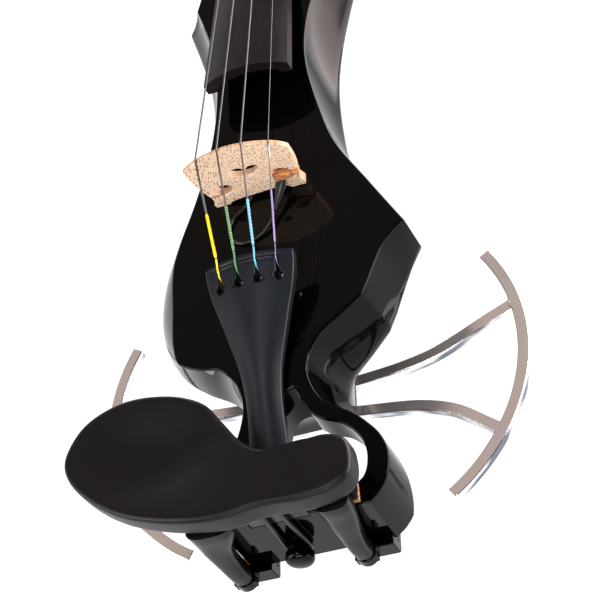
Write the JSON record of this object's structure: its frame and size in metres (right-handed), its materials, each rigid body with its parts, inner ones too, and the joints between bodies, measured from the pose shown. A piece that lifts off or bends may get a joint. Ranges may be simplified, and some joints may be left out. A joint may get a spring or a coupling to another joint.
{
  "type": "electric violin",
  "caption": "Solid-body electric violin with an open tail frame, bridge pickup, side-mounted chinrest and a two-winged metal shoulder bracket.",
  "frame": {"origin": "on the top plate, midway between the two bridge feet at the bridge's tail side", "axes": "+X to the treble side, +Y to the scroll, +Z out of the top plate"},
  "size_m": [0.2033, 0.595, 0.1046],
  "materials": {
    "black_lacquer": "black high-gloss lacquer over wood",
    "ebony": "dark oiled hardwood, satin",
    "maple": "pale flecked maple, satin",
    "bone": "off-white, polished",
    "wedge_wood": "orange-brown wood around the pickup",
    "cork": "cork sheet",
    "black_plastic": "matte moulded black",
    "steel": "satin steel",
    "string_steel": "wound string metal",
    "aluminium": "brushed faces, polished edges",
    "clear_tube": "clear tube",
    "circuit_board": "green solder mask",
    "battery_case": "plain painted can",
    "silk_g": "yellow silk winding",
    "silk_d": "green silk winding",
    "silk_a": "light blue silk winding",
    "silk_e": "lilac silk winding"
  },
  "bodies": {
    "violin": {"back_cover": "black_plastic", "ball_a": "steel", "ball_d": "steel", "ball_e": "steel", "ball_g": "steel", "battery": "battery_case", "body": "black_lacquer", "bridge": "maple", "chinrest_cork_bass": "cork", "chinrest_cork_treble": "cork", "chinrest_plate": "black_plastic", "clamp_leg_bass": "black_plastic", "clamp_leg_treble": "black_plastic", "cover_screw_bass": "steel", "cover_screw_treble": "steel", "end_button": "black_lacquer", "fingerboard": "ebony", "neck": "black_lacquer", "nut": "bone", "output_jack": "steel", "pickup_cable": "black_plastic", "pickup_sleeve": "black_plastic", "piezo_wedge": "wedge_wood", "preamp_board": "circuit_board", "saddle": "ebony", "silk_a": "silk_a", "silk_d": "silk_d", "silk_e": "silk_e", "silk_g": "silk_g", "string_a": "string_steel", "string_d": "string_steel", "string_e": "string_steel", "string_g": "string_steel", "string_sleeve_e": "clear_tube", "tailgut": "black_plastic", "tailpiece": "black_plastic", "wing_bass": "aluminium", "wing_screw_bass_front": "steel", "wing_screw_bass_rear": "steel", "wing_screw_treble_front": "steel", "wing_screw_treble_rear": "steel", "wing_spacer_bass": "black_plastic", "wing_spacer_treble": "black_plastic", "wing_treble": "aluminium", "wire_harness": "black_plastic"},
    "peg_g": {"peg_g": "ebony"},
    "peg_d": {"peg_d": "ebony"},
    "peg_a": {"peg_a": "ebony"},
    "peg_e": {"peg_e": "ebony"},
    "volume_knob": {"volume_knob": "black_plastic"},
    "tone_knob": {"tone_knob": "black_plastic"},
    "battery_door": {"battery_door": "black_plastic"},
    "clamp_foot_bass": {"clamp_foot_bass": "black_lacquer", "foot_cork_bass": "cork"},
    "clamp_screw_bass": {"clamp_screw_bass": "steel"},
    "clamp_foot_treble": {"clamp_foot_treble": "black_lacquer", "foot_cork_treble": "cork"},
    "clamp_screw_treble": {"clamp_screw_treble": "steel"}
  },
  "joints": [
    {"name": "peg_turn_g", "type": "hinge", "parent": "violin", "child": "peg_g", "pos_m": [0, 0.3447, -0.03774], "axis": [-1, 0, 0], "continuous": true},
    {"name": "peg_turn_d", "type": "hinge", "parent": "violin", "child": "peg_d", "pos_m": [0, 0.3699, -0.04454], "axis": [-1, 0, 0], "continuous": true},
    {"name": "peg_turn_a", "type": "hinge", "parent": "violin", "child": "peg_a", "pos_m": [0, 0.3825, -0.04795], "axis": [1, 0, 0], "continuous": true},
    {"name": "peg_turn_e", "type": "hinge", "parent": "violin", "child": "peg_e", "pos_m": [0, 0.3573, -0.04114], "axis": [1, 0, 0], "continuous": true},
    {"name": "volume_turn", "type": "hinge", "parent": "violin", "child": "volume_knob", "pos_m": [-0.0096, -0.006, -0.047], "axis": [0, 0, -1], "range_deg": [0, 270]},
    {"name": "tone_turn", "type": "hinge", "parent": "violin", "child": "tone_knob", "pos_m": [0.0096, -0.006, -0.047], "axis": [0, 0, -1], "range_deg": [0, 270]},
    {"name": "door_swing", "type": "hinge", "parent": "violin", "child": "battery_door", "pos_m": [0, 0.0681, -0.047], "axis": [1, 0, 0], "range_deg": [0, 100]},
    {"name": "foot_slide_bass", "type": "slide", "parent": "violin", "child": "clamp_foot_bass", "axis": [0, 0, -1], "range_m": [0, 0.0042]},
    {"name": "screw_turn_bass", "type": "hinge", "parent": "clamp_foot_bass", "child": "clamp_screw_bass", "pos_m": [-0.0287, -0.1634, -0.05], "axis": [0, 0, 1], "range_deg": [0, 1512]},
    {"name": "foot_slide_treble", "type": "slide", "parent": "violin", "child": "clamp_foot_treble", "axis": [0, 0, -1], "range_m": [0, 0.0042]},
    {"name": "screw_turn_treble", "type": "hinge", "parent": "clamp_foot_treble", "child": "clamp_screw_treble", "pos_m": [0.0255, -0.1634, -0.05], "axis": [0, 0, 1], "range_deg": [0, 1512]}
  ],
  "couplings": [
    {"joint": "screw_turn_bass", "follows": "foot_slide_bass", "rad_per_m": 6283.1},
    {"joint": "screw_turn_treble", "follows": "foot_slide_treble", "rad_per_m": 6283.1}
  ]
}
